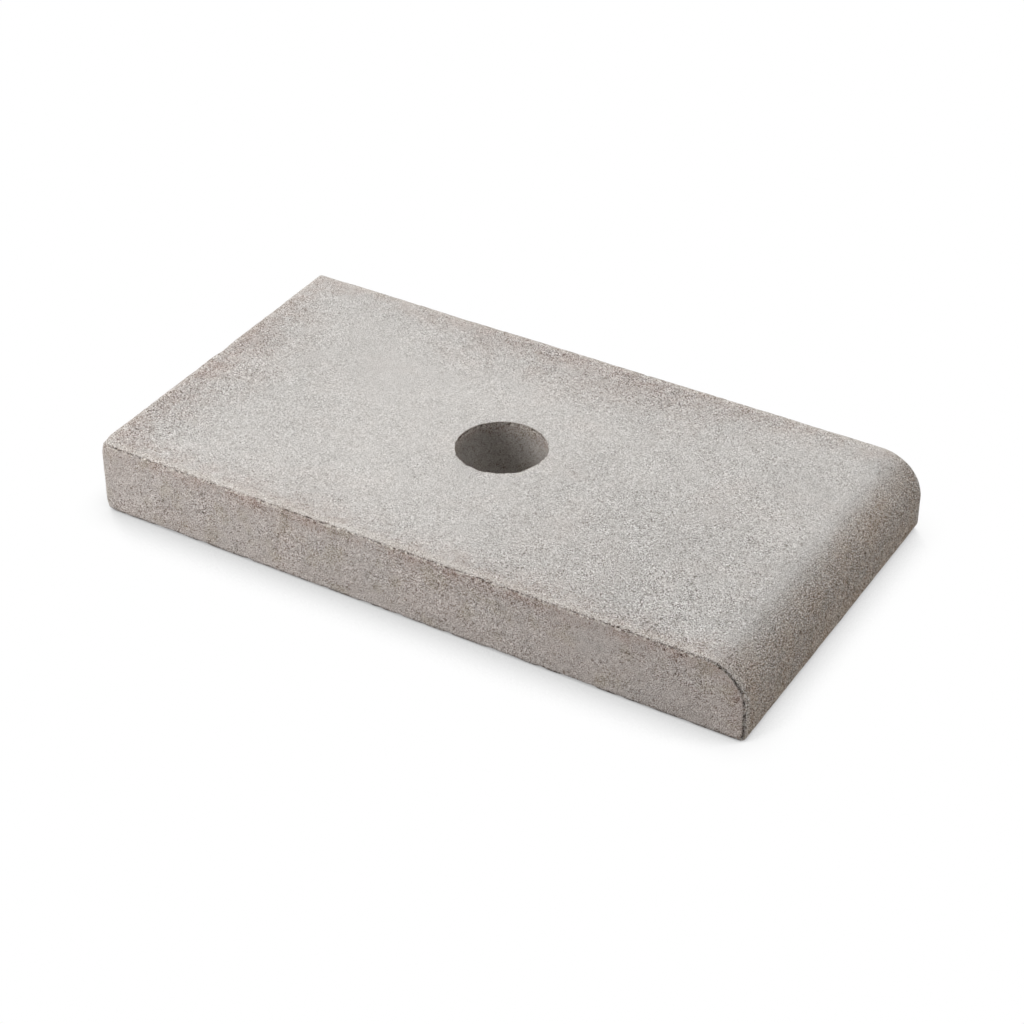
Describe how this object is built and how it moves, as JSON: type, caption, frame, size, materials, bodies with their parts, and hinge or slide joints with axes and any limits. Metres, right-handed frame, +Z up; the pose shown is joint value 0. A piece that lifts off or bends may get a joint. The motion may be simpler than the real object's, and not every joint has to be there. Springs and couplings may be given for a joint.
{
  "type": "kerb stone",
  "caption": "Flat pressed concrete slab for edging, rounded over to a nose at its front end, with a plain hole through the middle for a stake or post.",
  "frame": {"origin": "middle of the underside's outer box, on the ground", "axes": "+X along the length to the nose, +Y across the width along the nose, +Z up out of the top face"},
  "size_m": [0.35, 0.19, 0.04],
  "materials": {
    "concrete": "matt, sandy, unpainted concrete"
  },
  "bodies": {
    "root": {"kerb_stone": "concrete"}
  },
  "joints": []
}
